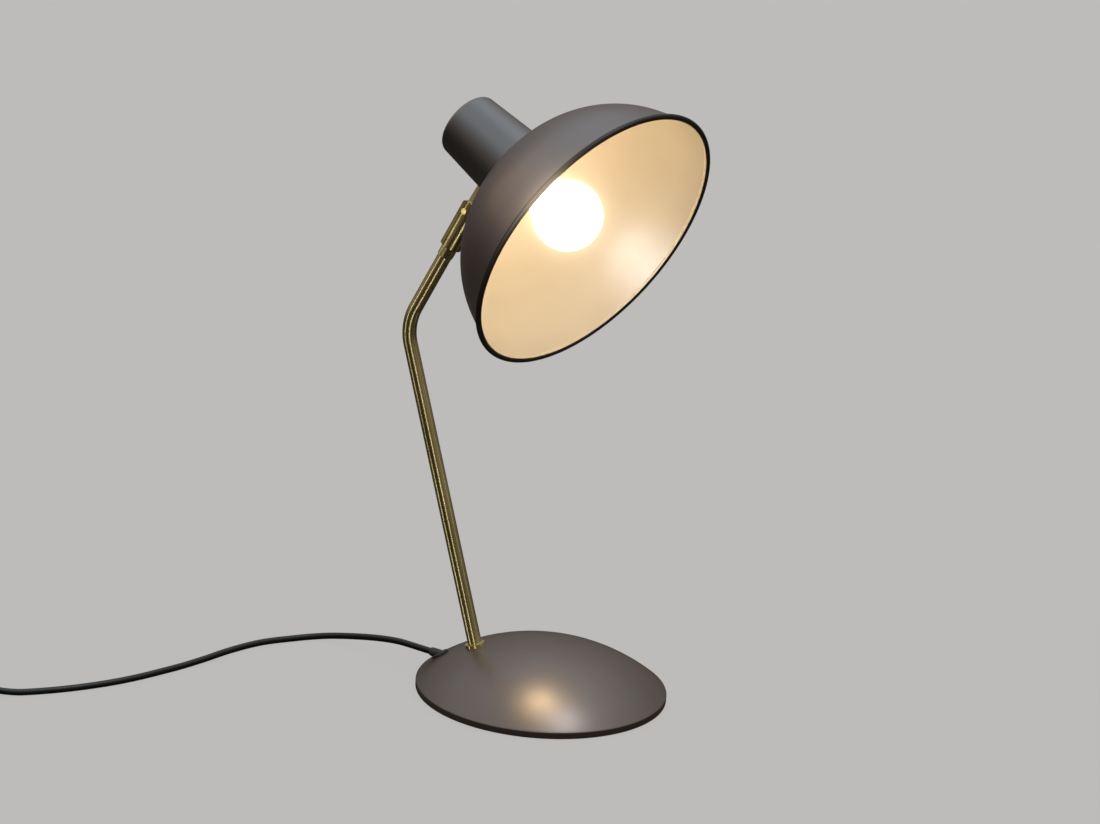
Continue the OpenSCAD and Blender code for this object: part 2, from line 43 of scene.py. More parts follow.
# ---------------------------------------------------------------- camera
# Placed by the ellipse of the rim, the outline of the base and the pole.
AZ, EL, ROLL = math.radians(-77.07), math.radians(17.344), math.radians(4.067)
back = Vector((math.sin(AZ) * math.cos(EL), -math.cos(AZ) * math.cos(EL), math.sin(EL)))
right = Vector((math.cos(AZ), math.sin(AZ), 0.0))
up = Vector((-math.sin(AZ) * math.sin(EL), math.cos(AZ) * math.sin(EL), math.cos(EL)))
right_c = right * math.cos(ROLL) + up * math.sin(ROLL)
up_c = -right * math.sin(ROLL) + up * math.cos(ROLL)
cam_data = bpy.data.cameras.new("camera")
cam = bpy.data.objects.new("camera", cam_data)
COLL.objects.link(cam)
place = 0.006235 * right_c + 0.18705 * up_c + 2.5 * back
m = Matrix((right_c, up_c, back)).transposed().to_4x4()
m.translation = place
cam.matrix_world = m
cam_data.sensor_width = 36.0
cam_data.sensor_fit = "HORIZONTAL"
cam_data.lens = 122.35
cam_data.clip_start = 0.05
cam_data.clip_end = 60.0
SCENE.camera = cam


# ---------------------------------------------------------------- frames
def rot(axis, deg):
    return Matrix.Rotation(math.radians(deg), 4, axis)


def tra(x, y, z):
    return Matrix.Translation(Vector((x, y, z)) * MM)


BASE_R, BASE_H, EDGE_H, FOOT_Y = 84.0, 34.0, 5.0, 47.0
POLE_D, LEAN, LOWER_L, BEND, BEND_R, ARM_L = 9.4, 15.7, 224.5, 40.9, 37.0, 89.5
HEAD_TURN, HEAD_TILT = 25.0, 1.75
DOME_R = (BASE_R ** 2 + (BASE_H - EDGE_H) ** 2) / (2 * (BASE_H - EDGE_H))
FOOT_Z = BASE_H - DOME_R + math.sqrt(DOME_R ** 2 - FOOT_Y ** 2)
BEND_T = BEND_R * math.tan(math.radians(BEND / 2))
M_FOOT = tra(0, FOOT_Y, FOOT_Z) @ rot("X", -LEAN)
M_ARM = M_FOOT @ tra(0, 0, LOWER_L) @ rot("X", BEND)
M_PIN = M_ARM @ tra(0, 0, ARM_L) @ rot("Z", -HEAD_TURN)
M_SHADE = M_PIN @ rot("X", -90 + HEAD_TILT) @ tra(0, -43.9, -91.6)
TAIL_A = 112.0
M_TAIL = tra(-153, 328, 0) @ rot("Z", TAIL_A)
M_PLUG = M_TAIL @ tra(86, 98.5, 6.9)


# ---------------------------------------------------------------- helpers
def add_object(name, mesh, body, mats=()):
    obj = bpy.data.objects.new(name, mesh)
    COLL.objects.link(obj)
    for mt in mats:
        mesh.materials.append(mt)
    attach(obj, body)
    return obj


def smooth(mesh, deg=None):
    mesh.polygons.foreach_set("use_smooth", [True] * len(mesh.polygons))
    if deg is not None:
        mesh.set_sharp_from_angle(angle=math.radians(deg))
    mesh.update()


def lathe(name, profile, matrix, segments=192, closed=False, material_of=None, sharp=35):
    """A surface turned about the frame's z. profile is [(radius, z)] in mm, and
    material_of gives a material index for each stretch of the profile."""
    bm = bmesh.new()
    rings = []
    for r, z in profile:
        if r < 1e-6:
            rings.append([bm.verts.new(matrix @ (Vector((0, 0, z)) * MM))])
        else:
            rings.append([bm.verts.new(matrix @ (Vector((r * math.cos(2 * math.pi * k / segments),
                                                         r * math.sin(2 * math.pi * k / segments), z)) * MM))
                          for k in range(segments)])
    uv = bm.loops.layers.uv.new("UVMap")
    runs = [0.0]
    for a, b in zip(profile, profile[1:]):
        runs.append(runs[-1] + math.hypot(b[0] - a[0], b[1] - a[1]) * MM)
    count = len(profile)
    for i in range(count if closed else count - 1):
        a, b = rings[i], rings[(i + 1) % count]
        va, vb = runs[i], runs[i + 1] if i + 1 < count else runs[-1]
        idx = material_of[i] if material_of else 0
        for k in range(segments):
            k2 = (k + 1) % segments
            if len(a) == 1 and len(b) == 1:
                continue
            if len(a) == 1:
                f = bm.faces.new((a[0], b[k2], b[k]))
                us = [((k + 0.5), va), (k + 1, vb), (k, vb)]
            elif len(b) == 1:
                f = bm.faces.new((a[k], a[k2], b[0]))
                us = [(k, va), (k + 1, va), (k + 0.5, vb)]
            else:
                f = bm.faces.new((a[k], a[k2], b[k2], b[k]))
                us = [(k, va), (k + 1, va), (k + 1, vb), (k, vb)]
            f.material_index = idx
            for loop, (u, v) in zip(f.loops, us):
                loop[uv].uv = (u / segments, v)
    bmesh.ops.recalc_face_normals(bm, faces=bm.faces)
    mesh = bpy.data.meshes.new(name)
    bm.to_mesh(mesh)
    bm.free()
    smooth(mesh, sharp)
    return mesh


def arc(cx, cy, r, a0, a1, n):
    """Points of an arc, with angles in degrees."""
    return [(cx + r * math.cos(math.radians(a0 + (a1 - a0) * i / n)),
             cy + r * math.sin(math.radians(a0 + (a1 - a0) * i / n))) for i in range(n + 1)]


def tube_along(name, path, radius, segments=48, hole=None, caps=True, start_side=None):
    """A round tube swept along points in the row frame, with u round it and v along it, in metres."""
    bm = bmesh.new()
    uv = bm.loops.layers.uv.new("UVMap")
    n = len(path)
    tangents = [(path[min(i + 1, n - 1)] - path[max(i - 1, 0)]).normalized() for i in range(n)]
    side = start_side or Vector((1, 0, 0))
    frames = []
    for t in tangents:
        side = (side - t * side.dot(t)).normalized()
        frames.append((side.copy(), t.cross(side)))
    run = [0.0]
    for a, b in zip(path, path[1:]):
        run.append(run[-1] + (b - a).length)

    def shell(rad, flip):
        rings = []
        for p, (s, w) in zip(path, frames):
            rr = rad
            rings.append([bm.verts.new(p + rr * (math.cos(2 * math.pi * k / segments) * s
                                                 + math.sin(2 * math.pi * k / segments) * w)) for k in range(segments)])
        for i in range(n - 1):
            for k in range(segments):
                k2 = (k + 1) % segments
                vs = [rings[i][k], rings[i][k2], rings[i + 1][k2], rings[i + 1][k]]
                us = [(k, run[i]), (k + 1, run[i]), (k + 1, run[i + 1]), (k, run[i + 1])]
                if flip:
                    vs.reverse()
                    us.reverse()
                f = bm.faces.new(vs)
                for loop, (u, v) in zip(f.loops, us):
                    loop[uv].uv = (u / segments, v)
        return rings

    outer = shell(radius, False)
    if hole:
        inner = shell(hole, True)
        for o, q, flip in ((outer[0], inner[0], True), (outer[-1], inner[-1], False)):
            for k in range(segments):
                k2 = (k + 1) % segments
                vs = [o[k], o[k2], q[k2], q[k]]
                if flip:
                    vs.reverse()
                bm.faces.new(vs)
    elif caps:
        bm.faces.new(list(reversed(outer[0])))
        bm.faces.new(outer[-1])
    bmesh.ops.recalc_face_normals(bm, faces=bm.faces)
    mesh = bpy.data.meshes.new(name)
    bm.to_mesh(mesh)
    bm.free()
    smooth(mesh, 40)
    return mesh


def catmull(points, steps):
    out = []
    n = len(points)
    for i in range(n - 1):
        p0, p1, p2, p3 = points[max(i - 1, 0)], points[i], points[i + 1], points[min(i + 2, n - 1)]
        for k in range(steps):
            t = k / steps
            out.append(0.5 * (2 * p1 + (p2 - p0) * t + (2 * p0 - 5 * p1 + 4 * p2 - p3) * t * t
                              + (3 * p1 - p0 - 3 * p2 + p3) * t ** 3))
    out.append(points[-1].copy())
    return out


# ---------------------------------------------------------------- materials
class Tree:
    """A small helper for building node materials."""

    def __init__(self, name):
        self.mat = bpy.data.materials.new(name)
        self.mat.use_nodes = True
        self.nt = self.mat.node_tree
        self.nt.nodes.clear()
        self.out = self.nt.nodes.new("ShaderNodeOutputMaterial")
        self.bsdf = self.nt.nodes.new("ShaderNodeBsdfPrincipled")
        self.link(self.bsdf.outputs[0], self.out.inputs["Surface"])

    def node(self, kind, **props):
        n = self.nt.nodes.new(kind)
        for k, v in props.items():
            setattr(n, k, v)
        return n

    def link(self, a, b):
        self.nt.links.new(a, b)

    def set(self, **values):
        for k, v in values.items():
            self.bsdf.inputs[k.replace("_", " ")].default_value = v

    def coords(self, kind="Object", scale=(1, 1, 1), rotation=(0, 0, 0)):
        tc = self.node("ShaderNodeTexCoord")
        mp = self.node("ShaderNodeMapping")
        mp.inputs["Scale"].default_value = scale
        mp.inputs["Rotation"].default_value = rotation
        self.link(tc.outputs[kind], mp.inputs["Vector"])
        return mp.outputs[0]

    def noise(self, vector, scale, detail=3.0, rough=0.5, distortion=0.0):
        n = self.node("ShaderNodeTexNoise")
        n.inputs["Scale"].default_value = scale
        n.inputs["Detail"].default_value = detail
        n.inputs["Roughness"].default_value = rough
        n.inputs["Distortion"].default_value = distortion
        self.link(vector, n.inputs["Vector"])
        return n.outputs[0]

    def ramp(self, value, stops):
        r = self.node("ShaderNodeValToRGB")
        r.color_ramp.elements.remove(r.color_ramp.elements[1])
        r.color_ramp.elements[0].position = stops[0][0]
        r.color_ramp.elements[0].color = (*stops[0][1], 1)
        for pos, col in stops[1:]:
            e = r.color_ramp.elements.new(pos)
            e.color = (*col, 1)
        self.link(value, r.inputs[0])
        return r.outputs[0]

    def span(self, value, lo, hi, a=0.0, b=1.0):
        r = self.node("ShaderNodeMapRange")
        r.inputs["From Min"].default_value = a
        r.inputs["From Max"].default_value = b
        r.inputs["To Min"].default_value = lo
        r.inputs["To Max"].default_value = hi
        self.link(value, r.inputs["Value"])
        return r.outputs[0]

    def bump(self, height, strength, distance, normal=None):
        b = self.node("ShaderNodeBump")
        b.inputs["Strength"].default_value = strength
        b.inputs["Distance"].default_value = distance
        self.link(height, b.inputs["Height"])
        if normal:
            self.link(normal, b.inputs["Normal"])
        return b.outputs[0]


def paint(name, dark, light, rough, metallic=0.0, specular=0.5, grain=0.00002, coat=0.0, tint=(1, 1, 1)):
    t = Tree(name)
    c = t.coords()
    broad = t.noise(c, 18.0, 2.0)
    fine = t.noise(c, 900.0, 2.0, 0.6)
    t.link(t.ramp(broad, [(0.3, dark), (0.7, light)]), t.bsdf.inputs["Base Color"])
    t.link(t.span(t.noise(c, 45.0, 3.0), rough - 0.02, rough + 0.03), t.bsdf.inputs["Roughness"])
    t.link(t.bump(fine, 0.35, grain), t.bsdf.inputs["Normal"])
    t.set(Metallic=metallic)
    t.bsdf.inputs["Specular IOR Level"].default_value = specular
    t.bsdf.inputs["Specular Tint"].default_value = (*tint, 1)
    if coat:
        t.bsdf.inputs["Coat Weight"].default_value = coat
        t.bsdf.inputs["Coat Roughness"].default_value = 0.3
    return t.mat


def brass_along(name, dark, light, rough, streak=(900.0, 3.0)):
    """Brushed brass whose lines run along v of the tube's own map."""
    t = Tree(name)
    c = t.coords("UV", scale=(1.0, 1.0, 1.0))
    mp = t.node("ShaderNodeMapping")
    mp.inputs["Scale"].default_value = (44.0, streak[1], 1.0)
    t.link(c, mp.inputs["Vector"])
    lines = t.noise(mp.outputs[0], 1.0, 2.0, 0.5)
    obj = t.coords()
    tarnish = t.noise(obj, 22.0, 1.0, 0.5)
    mix = t.node("ShaderNodeMix", data_type="FLOAT")
    mix.inputs[0].default_value = 0.22
    t.link(lines, mix.inputs[2])
    t.link(tarnish, mix.inputs[3])
    t.link(t.ramp(mix.outputs[0], [(0.32, dark), (0.62, light)]), t.bsdf.inputs["Base Color"])
    t.link(t.span(lines, rough - 0.06, rough + 0.10, 0.3, 0.7), t.bsdf.inputs["Roughness"])
    t.link(t.bump(lines, 0.12, 0.00002), t.bsdf.inputs["Normal"])
    t.set(Metallic=1.0)
    return t.mat


def brass_plain(name, dark, light, rough):
    t = Tree(name)
    c = t.coords()
    tarnish = t.noise(c, 60.0, 4.0, 0.6)
    fine = t.noise(c, 1400.0, 2.0, 0.6)
    t.link(t.ramp(tarnish, [(0.35, dark), (0.65, light)]), t.bsdf.inputs["Base Color"])
    t.link(t.span(fine, rough - 0.05, rough + 0.07, 0.3, 0.7), t.bsdf.inputs["Roughness"])
    t.link(t.bump(fine, 0.2, 0.00002), t.bsdf.inputs["Normal"])
    t.set(Metallic=1.0)
    return t.mat


def brass_arm(name, dark, light, rough):
    """Brass with fine lines along the upper tube."""
    t = Tree(name)
    c = t.coords("Object", rotation=(math.radians(-(BEND - LEAN)), 0, 0))
    mp = t.node("ShaderNodeMapping")
    mp.inputs["Scale"].default_value = (1100.0, 1100.0, 12.0)
    t.link(c, mp.inputs["Vector"])
    lines = t.noise(mp.outputs[0], 1.0, 2.0, 0.5)
    tarnish = t.noise(c, 40.0, 1.0, 0.5)
    mix = t.node("ShaderNodeMix", data_type="FLOAT")
    mix.inputs[0].default_value = 0.25
    t.link(lines, mix.inputs[2])
    t.link(tarnish, mix.inputs[3])
    t.link(t.ramp(mix.outputs[0], [(0.36, dark), (0.62, light)]), t.bsdf.inputs["Base Color"])
    t.link(t.span(lines, rough - 0.05, rough + 0.1, 0.3, 0.7), t.bsdf.inputs["Roughness"])
    t.link(t.bump(lines, 0.12, 0.00002), t.bsdf.inputs["Normal"])
    t.set(Metallic=1.0)
    return t.mat


def plastic(name, dark, light, rough, grain_scale=1500.0, grain=0.00003, strength=0.3, specular=0.5):
    t = Tree(name)
    c = t.coords()
    broad = t.noise(c, 40.0, 3.0)
    fine = t.noise(c, grain_scale, 2.0, 0.6)
    t.link(t.ramp(broad, [(0.3, dark), (0.7, light)]), t.bsdf.inputs["Base Color"])
    t.link(t.span(fine, rough - 0.04, rough + 0.06, 0.3, 0.7), t.bsdf.inputs["Roughness"])
    t.link(t.bump(fine, strength, grain), t.bsdf.inputs["Normal"])
    t.bsdf.inputs["Specular IOR Level"].default_value = specular
    return t.mat


MAT_PAINT = paint("charcoal_paint", (0.030, 0.018, 0.015), (0.040, 0.025, 0.021), 0.36, specular=1.0,
                  tint=(1.0, 0.96, 0.94))
MAT_NECK = paint("neck_paint", (0.017, 0.015, 0.014), (0.022, 0.020, 0.019), 0.34, specular=1.0)
# A warmer copy of the charcoal paint for the base: its warmer colour and warm sheen tint are painted light, the bulb's
# warm glow falling on the base.
MAT_BASE_WARM_LIT = paint("base_paint_bulb_lit", (0.034, 0.022, 0.016), (0.043, 0.029, 0.022), 0.36, specular=0.88,
                 tint=(0.94, 0.80, 0.74))
# A darker copy of the charcoal paint for the rolled bead at the rim: the darker colour is painted shade in the bead's
# curl.
MAT_LIP_SHADED = paint("lip_paint_painted_shade", (0.016, 0.010, 0.008), (0.023, 0.015, 0.011), 0.42, specular=0.15)
MAT_CREAM = paint("cream_paint", (0.80, 0.70, 0.53), (0.84, 0.74, 0.57), 0.44, specular=0.6, grain=0.00001)
MAT_POLE = brass_along("brass_tube", (0.20, 0.16, 0.055), (0.74, 0.66, 0.33), 0.17)
MAT_BRASS = brass_plain("brass_fittings", (0.34, 0.27, 0.10), (0.60, 0.51, 0.24), 0.20)
MAT_ARM_BRASS = brass_arm("brass_turned", (0.20, 0.155, 0.055), (0.68, 0.59, 0.29), 0.18)
# A lighter copy of the fittings brass for the tongue: its lightness is a painted sheen standing in for the highlights
# the strip lights would give.
MAT_TONGUE_SHEEN = brass_plain("brass_tongue_painted_sheen", (0.50, 0.44, 0.22), (0.78, 0.70, 0.40), 0.24)
MAT_BRASS_DARK = brass_plain("brass_dark", (0.14, 0.10, 0.04), (0.22, 0.17, 0.07), 0.38)
MAT_STEEL = brass_plain("zinc_steel", (0.42, 0.42, 0.43), (0.58, 0.58, 0.59), 0.36)
MAT_IRON = plastic("raw_iron", (0.05, 0.048, 0.046), (0.09, 0.085, 0.08), 0.75, 500.0, 0.0002, 0.8)
MAT_CORD = plastic("cord_sheath", (0.005, 0.005, 0.0055), (0.009, 0.009, 0.0095), 0.38, 900.0, 0.00002, 0.2, specular=0.22)
MAT_RUBBER = plastic("rubber", (0.012, 0.012, 0.012), (0.022, 0.021, 0.021), 0.66, 1200.0, 0.00006, 0.6)
MAT_FOAM = plastic("foam_pad", (0.016, 0.016, 0.016), (0.035, 0.034, 0.033), 0.9, 700.0, 0.00025, 1.0)
MAT_BLACK = plastic("black_plastic", (0.014, 0.014, 0.015), (0.021, 0.021, 0.022), 0.40, 1600.0, 0.00004, 0.4)
MAT_ROCKER = plastic("rocker_plastic", (0.02, 0.02, 0.021), (0.028, 0.028, 0.03), 0.30, 1600.0, 0.00002, 0.2)
MAT_WHITE = plastic("white_plastic", (0.74, 0.73, 0.70), (0.82, 0.81, 0.78), 0.42, 1200.0, 0.00002, 0.2)
MAT_CERAMIC = plastic("white_ceramic", (0.78, 0.76, 0.71), (0.86, 0.84, 0.79), 0.22, 300.0, 0.00003, 0.2)


def bulb_material():
    t = Tree("opal_glow")
    c = t.coords()
    soft = t.noise(c, 14.0, 1.0)
    t.link(t.ramp(soft, [(0.3, (0.95, 0.90, 0.80)), (0.7, (1.0, 0.95, 0.86))]), t.bsdf.inputs["Base Color"])
    t.set(Roughness=0.35)
    t.bsdf.inputs["Emission Color"].default_value = (1.0, 0.80, 0.55, 1)
    t.bsdf.inputs["Emission Strength"].default_value = 6.0
    return t.mat


MAT_BULB = bulb_material()


def give(node, material, bevel=None, angle=30, segments=2):
    """A CAD node keeps its shape and takes a material, with small bevels on its edges."""
    obj = NODES[node]
    obj.data.materials.clear()
    obj.data.materials.append(material)
    smooth(obj.data, angle)
    if bevel:
        mod = obj.modifiers.new("bevel", "BEVEL")
        mod.width = bevel * MM
        mod.segments = segments
        mod.limit_method = "ANGLE"
        mod.angle_limit = math.radians(angle)
        mod.harden_normals = True
    return obj


# ---------------------------------------------------------------- cord
CORD_D = 4.4
CR = CORD_D / 2


def turned(p, a):
    a = math.radians(a)
    return Vector((p[0] * math.cos(a) - p[1] * math.sin(a), p[0] * math.sin(a) + p[1] * math.cos(a), p[2]))


def on_gland(t):
    """A point on the middle line of the strain relief."""
    return Vector((7.5, 73, 12.6)) + t * turned((0, math.cos(math.radians(3)), math.sin(math.radians(3))), -14)


def tl(x, y, z):
    return turned((x, y, z), TAIL_A) + Vector((-153, 328, 0))


LEAD = [on_gland(7), on_gland(15), on_gland(24), Vector((17, 105, 13.4)), Vector((20.7, 116, 12.1)),
        Vector((24.8, 127, 10)), Vector((28.8, 138, 7.5)), Vector((31.5, 149, 5.2)), Vector((32, 159, 3.5)),
        Vector((29.2, 168.3, 2.5)), Vector((23.5, 177, CR)), Vector((5, 197.5, CR)), Vector((-18, 212.5, CR)),
        Vector((-42, 224, CR)), Vector((-64, 236, CR)), Vector((-98, 259, CR)), Vector((-124, 284, CR)),
        Vector((-144, 311, CR)), Vector((-150, 322, 3.2)), tl(1, 0, 5), tl(6, 0, 6.4), tl(10, 0, 6.8)]
THROUGH = [tl(39, 0, 6.8)]
COIL_R, COIL_C = 26.0, (44, 67.5)
MID = [tl(68, 0, 6.8), tl(74, 0, 6.1), tl(81, 0, 4.5), tl(88, 1.4, 3.2), tl(94.1, 5.4, 2.4), tl(98.1, 11.4, CR),
       tl(99.5, 18.5, CR), tl(98.1, 25.6, CR), tl(94.1, 31.6, CR), tl(88, 35.6, CR), tl(81, 37, CR),
       tl(70, 37, CR), tl(57, 37, CR)]
TAIL = [tl(56, 98, 6.3), tl(66, 98.2, 6), tl(75, 98.4, 6.2), tl(82, 98.5, 6.7), tl(88, 98.5, 6.9)]


def coil_points():
    """Turns of the spare cord: each turn keeps its own place in the bundle and steps to the next near one side."""
    a, b, c = COIL_R + 4.5, COIL_R, COIL_R - 4.5
    z1, z2, z3 = CR, CR + 4.4, CR + 8.8
    slots = [(a, z1), (b, z1), (c, z1), (c, z2), (c, z3), (b, z3), (a, z3), (a, z2)]
    pts = []
    per = 20
    total = 7.5
    steps = int(total * per)
    for i in range(steps + 1):
        turn = i / per
        n = min(int(turn), 7)
        f = turn - n
        r, z = slots[n]
        if n + 1 < len(slots) and f > 0.8:
            k = (f - 0.8) / 0.2
            k = k * k * (3 - 2 * k)
            r2, z2_ = slots[n + 1]
            r, z = r + (r2 - r) * k, z + (z2_ - z) * k
        ang = math.radians(-90 - 360 * turn)
        pts.append(tl(COIL_C[0] + r * math.cos(ang), COIL_C[1] + r * math.sin(ang), z))
    return pts


route = LEAD + THROUGH + MID + coil_points() + TAIL
curve = bpy.data.curves.new("supply_cord", "CURVE")
curve.dimensions = "3D"
curve.bevel_depth = CR * MM
curve.bevel_resolution = 6
curve.resolution_u = 6
curve.use_fill_caps = True
spl = curve.splines.new("BEZIER")
spl.bezier_points.add(len(route) - 1)
for i, p in enumerate(route):
    bp = spl.bezier_points[i]
    prev, nxt = route[max(i - 1, 0)], route[min(i + 1, len(route) - 1)]
    tan = (nxt - prev).normalized()
    bp.co = p * MM
    bp.handle_left_type = bp.handle_right_type = "FREE"
    bp.handle_left = (p - tan * (p - prev).length / 3) * MM
    bp.handle_right = (p + tan * (nxt - p).length / 3) * MM
curve.materials.append(MAT_CORD)
cord = bpy.data.objects.new("supply_cord", curve)
COLL.objects.link(cord)
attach(cord, "base")
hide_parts("cord_lead", "cord_mid", "cord_coil", "cord_tail")

# ---------------------------------------------------------------- shade
SLOPE_1, SLOPE_2, SHOULDER = 19.0, 60.8, 80.0
T1, T2 = math.tan(math.radians(SLOPE_1)), math.tan(math.radians(SLOPE_2))
CONE_R = 97.5 - 1.3
COR_W = (28.6 + 76 * T2 - CONE_R) / (T2 - T1)
COR_R = CONE_R - T1 * COR_W
TAN_L = SHOULDER * math.tan(math.radians((SLOPE_2 - SLOPE_1) / 2))
ARC_W = COR_W - TAN_L * math.cos(math.radians(SLOPE_1)) - SHOULDER * math.sin(math.radians(SLOPE_1))
ARC_R = COR_R + TAN_L * math.sin(math.radians(SLOPE_1)) - SHOULDER * math.cos(math.radians(SLOPE_1))
FLAT_W = 76 + (28.6 - 23.2) / T2
outer = [(14.4, FLAT_W), (19.0, FLAT_W), (23.2, FLAT_W)]
outer += arc(ARC_R, ARC_W, SHOULDER, SLOPE_2, SLOPE_1, 40)
outer += [(CONE_R - T1 * w, w) for w in (14.0, 7.0, 4.6)]
bead = arc(95.65, 1.85, 1.85, 111.6, -218.9, 36)
inner = [(95.248 - T1 * w, w) for w in (4.0, 7.0, 14.0)]
inner += arc(ARC_R, ARC_W, SHOULDER - 0.9, SLOPE_1, SLOPE_2, 40)
inner += [(22.8, FLAT_W - 0.9), (19.0, FLAT_W - 0.9), (14.4, FLAT_W - 0.9)]
profile = outer + bead + inner
# Stretch 0 takes the outer paint, 1 the bead's darker copy with painted shade, 2 the cream paint inside.
marks = []
for k in range(len(profile)):
    if k < len(outer):
        marks.append(0)
    elif k < len(outer) + 29:
        marks.append(1)
    else:
        marks.append(2)
marks[-1] = 0
mesh = lathe("shade_shell", profile, M_SHADE, segments=288, closed=True, material_of=marks, sharp=42)
shade = add_object("shade_shell", mesh, "head", (MAT_PAINT, MAT_LIP_SHADED, MAT_CREAM))
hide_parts("shade_dome")

# ---------------------------------------------------------------- bulb
BW = 28.0
glass = arc(0, BW, 22.5, -90, 29.2, 48)
glass += [(17.9, BW + 14.2), (16.2, BW + 17.4), (14.4, BW + 20.4), (12.6, BW + 22.8), (10.9, BW + 24.6),
          (9.2, BW + 25.8), (7.9, BW + 26.6), (6.9, BW + 27.5), (6.8, BW + 28.4), (5.6, BW + 28.4)]
glass[0] = (0, BW - 22.5)
mesh = lathe("bulb_envelope", glass, M_SHADE, segments=128, sharp=60)
bulb = add_object("bulb_envelope", mesh, "head", (MAT_BULB,))
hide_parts("bulb_glass")

# ---------------------------------------------------------------- base cover
ZC = BASE_H - DOME_R
cover = [(0, BASE_H)]
a_edge = math.degrees(math.asin(BASE_R / DOME_R))
FIL = 1.1
# the fillet is tangent to the dome and to the upright edge
fr = BASE_R - FIL
fz = ZC + math.sqrt((DOME_R - FIL) ** 2 - fr ** 2)
a_fil = math.degrees(math.atan2(fz - ZC, fr))
cover += [(DOME_R * math.sin(math.radians(t)), ZC + DOME_R * math.cos(math.radians(t)))
          for t in [(90 - a_fil) * k / 56 for k in range(1, 56)]]
cover += arc(fr, fz, FIL, a_fil, 0, 10)
cover += [(BASE_R, 2.0), (BASE_R, 1.1), (BASE_R - 0.15, 0.75), (BASE_R - 0.5, 0.6), (BASE_R - 1.2, 0.6), (BASE_R - 1.2, 2.5)]
cover += [((DOME_R - 1.2) * math.sin(math.radians(t)), ZC + (DOME_R - 1.2) * math.cos(math.radians(t)))
          for t in [36.0 - 36.0 * k / 24 for k in range(0, 24)]]
cover += [(0, BASE_H - 1.2)]
mesh = lathe("base_shell", cover, Matrix.Identity(4), segments=256, sharp=40)
base = add_object("base_shell", mesh, "base", (MAT_BASE_WARM_LIT,))
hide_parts("base_cover")

# ---------------------------------------------------------------- pole
path = [M_FOOT @ (Vector((0, 0, z)) * MM) for z in [0.6 + (LOWER_L - BEND_T - 0.6) * k / 12 for k in range(13)]]
centre = M_FOOT @ (Vector((0, -BEND_R, LOWER_L - BEND_T)) * MM)
arm_0 = centre - path[-1]
for k in range(1, 33):
    path.append(centre - Matrix.Rotation(math.radians(BEND * k / 32), 3, "X") @ arm_0)
for k in range(1, 7):
    path.append(M_ARM @ (Vector((0, 0, BEND_T + (ARM_L - 30.45 - BEND_T) * k / 6)) * MM))
mesh = tube_along("pole_tube", path, POLE_D / 2 * MM, 64, hole=3.7 * MM)
pole = add_object("pole_tube", mesh, "base", (MAT_POLE,))
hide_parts("pole")

# ---------------------------------------------------------------- CAD nodes that stay
for name in ("pole_flange",):
    give(name, MAT_BRASS, 0.35)
give("ferrule", MAT_ARM_BRASS, 0.3)
give("knuckle_fork", MAT_ARM_BRASS, 0.8, segments=3)
give("pivot_screw", MAT_BRASS, 0.25)
give("swivel_washer", MAT_BRASS_DARK, 0.08)
give("hinge_tongue", MAT_TONGUE_SHEEN, 0.4, segments=3)
give("friction_washers", MAT_STEEL, 0.1)
give("neck_cap", MAT_NECK, None, 40)
give("lampholder", MAT_CERAMIC, 0.4)
give("shade_ring", MAT_CERAMIC, 0.3)
give("holder_shell", MAT_BRASS)
give("holder_contact", MAT_BRASS)
for name in ("holder_nipple", "holder_nut", "swivel_stud", "pole_nipple", "pole_washer", "pole_nut",
             "base_plate", "plate_screws", "clamp_screws", "bulb_cap"):
    give(name, MAT_STEEL, 0.12)
give("switch_screws", MAT_STEEL, 0.1)
give("base_weight", MAT_IRON, 0.8)
give("foot_pad", MAT_FOAM, 0.4)
for name in ("terminal_block", "cord_clamp"):
    give(name, MAT_WHITE, 0.3)
for name in ("cord_gland", "lead_bush"):
    give(name, MAT_RUBBER, 0.2)
for name in ("pole_lead", "supply_tail", "head_lead"):
    give(name, MAT_CORD, None, 50)
give("switch_lower", MAT_BLACK, 0.7, segments=3)
give("switch_upper", MAT_BLACK, 0.9, segments=3)
give("switch_rocker", MAT_ROCKER, 0.4, segments=3)
give("coil_tie", MAT_BLACK, 0.3)
give("plug_body", MAT_BLACK, 0.9, 25, segments=3)
give("plug_pins", MAT_STEEL, 0.25)

# ---------------------------------------------------------------- floor and light
floor_mesh = bpy.data.meshes.new("floor")
bm = bmesh.new()
bmesh.ops.create_grid(bm, x_segments=1, y_segments=1, size=20.0)
bm.to_mesh(floor_mesh)
bm.free()
floor = bpy.data.objects.new("floor", floor_mesh)
COLL.objects.link(floor)
ft = Tree("floor")
ft.set(Base_Color=(0.075, 0.074, 0.073, 1), Roughness=1.0)
ft.bsdf.inputs["Specular IOR Level"].default_value = 0.0
ft.bsdf.inputs["Emission Color"].default_value = (0.515, 0.508, 0.497, 1)
ft.bsdf.inputs["Emission Strength"].default_value = 0.91
floor_mesh.materials.append(ft.mat)
floor.visible_diffuse = False
floor.visible_glossy = False

world = bpy.data.worlds.new("world")
SCENE.world = world
world.use_nodes = True
wn = world.node_tree
wn.nodes.clear()


